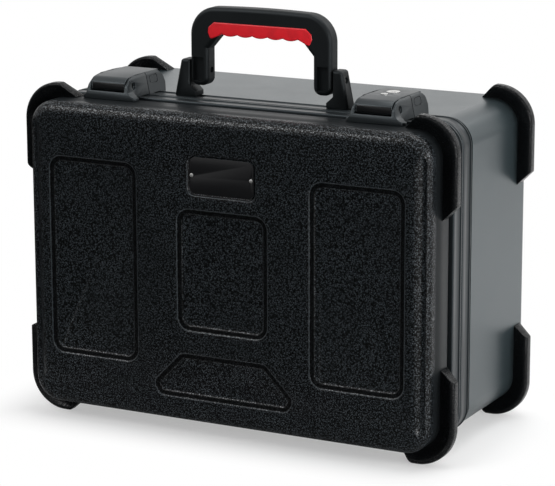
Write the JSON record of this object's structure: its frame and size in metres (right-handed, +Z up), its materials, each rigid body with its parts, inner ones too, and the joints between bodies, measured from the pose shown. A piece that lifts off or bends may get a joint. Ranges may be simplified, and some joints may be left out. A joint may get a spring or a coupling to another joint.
{
  "type": "microphone case",
  "caption": "Upright moulded case with hinged lid, draw latches, corner guards, folding handle and foam microphone drops.",
  "frame": {"origin": "centre of the box's underside, on the surface that the lower corner guards stand on", "axes": "+X to the right seen from the lid, +Y from the lid to the back, +Z up"},
  "size_m": [0.471, 0.24, 0.4165],
  "materials": {
    "grained_black": "coarse grained black polyethylene",
    "smooth_black": "smooth satin black polyethylene",
    "guard_black": "grained glossy black plastic",
    "dark_aluminium": "black anodised aluminium",
    "rubber_seal": "black rubber",
    "plain_plate": "plain satin black plate",
    "steel": "plain steel",
    "lock_steel": "bright nickel",
    "black_steel": "black coated steel",
    "latch_black": "satin dark grey plastic",
    "gloss_black": "glossy black plastic",
    "handle_black": "satin black plastic",
    "red_grip": "soft red rubber",
    "foam": "charcoal foam"
  },
  "bodies": {
    "base": {"base_shell": "smooth_black", "base_valance": "dark_aluminium", "gasket": "rubber_seal", "rear_guard_top_left": "guard_black", "rear_guard_top_right": "guard_black", "rear_guard_bottom_left": "guard_black", "rear_guard_bottom_right": "guard_black", "hinge_leaf_base_left": "black_steel", "hinge_leaf_base_right": "black_steel", "hinge_pins": "steel", "hinge_rivets_base": "black_steel", "handle_bracket_left": "handle_black", "handle_bracket_right": "handle_black", "handle_pins": "steel", "bracket_screws": "black_steel", "latch_keeper_left": "latch_black", "latch_keeper_right": "latch_black", "foam_rail_top": "foam", "foam_rail_bottom": "foam", "foam_wall_left": "foam", "foam_wall_middle": "foam", "foam_wall_right": "foam", "foam_shelf_lower": "foam", "foam_shelf_upper": "foam", "foam_partitions": "foam", "foam_back_pad": "foam"},
    "lid": {"lid_shell": "grained_black", "lid_valance": "dark_aluminium", "front_guard_top_left": "guard_black", "front_guard_top_right": "guard_black", "front_guard_bottom_left": "guard_black", "front_guard_bottom_right": "guard_black", "hinge_leaf_lid_left": "black_steel", "hinge_leaf_lid_right": "black_steel", "hinge_rivets_lid": "black_steel", "latch_base_left": "latch_black", "latch_base_right": "latch_black", "latch_pin_left": "steel", "latch_pin_right": "steel", "badge_plate": "plain_plate", "badge_rivets": "steel", "lid_foam": "foam"},
    "handle": {"handle_frame": "handle_black", "handle_grip": "red_grip"},
    "lever_left": {"lever_left": "latch_black", "lever_front_left": "gloss_black", "claw_pin_left": "steel"},
    "lever_right": {"lever_right": "latch_black", "lever_front_right": "gloss_black", "claw_pin_right": "steel"},
    "claw_left": {"claw_left": "black_steel"},
    "claw_right": {"claw_right": "black_steel"},
    "lock_cylinder": {"lock_cylinder": "lock_steel"},
    "lock_button": {"lock_button": "lock_steel"}
  },
  "joints": [
    {"name": "lid_hinge", "type": "hinge", "parent": "base", "child": "lid", "pos_m": [0, -0.0447, 0.0085], "axis": [1, 0, 0], "range_deg": [0, 100]},
    {"name": "handle_pivot", "type": "hinge", "parent": "base", "child": "handle", "pos_m": [0, -0.0307, 0.3522], "axis": [1, 0, 0], "range_deg": [-85, 85]},
    {"name": "lever_left_hinge", "type": "hinge", "parent": "lid", "child": "lever_left", "pos_m": [0, -0.0717, 0.3365], "axis": [1, 0, 0], "range_deg": [0, 90]},
    {"name": "claw_left_hinge", "type": "hinge", "parent": "lever_left", "child": "claw_left", "pos_m": [0, -0.0597, 0.3377], "axis": [1, 0, 0], "range_deg": [-90, 0]},
    {"name": "lever_right_hinge", "type": "hinge", "parent": "lid", "child": "lever_right", "pos_m": [0, -0.0717, 0.3365], "axis": [1, 0, 0], "range_deg": [0, 90]},
    {"name": "claw_right_hinge", "type": "hinge", "parent": "lever_right", "child": "claw_right", "pos_m": [0, -0.0597, 0.3377], "axis": [1, 0, 0], "range_deg": [-90, 0]},
    {"name": "lock_turn", "type": "hinge", "parent": "lever_right", "child": "lock_cylinder", "pos_m": [0.1418, -0.035, 0.3437], "axis": [0, 0, 1], "range_deg": [0, 90]},
    {"name": "button_press", "type": "slide", "parent": "lever_right", "child": "lock_button", "axis": [0, 0, -1], "range_m": [0, 0.0012], "stiffness_N_per_m": 300}
  ],
  "couplings": [
    {"joint": "claw_left_hinge", "follows": "lever_left_hinge", "ratio": -1},
    {"joint": "claw_right_hinge", "follows": "lever_right_hinge", "ratio": -1}
  ]
}
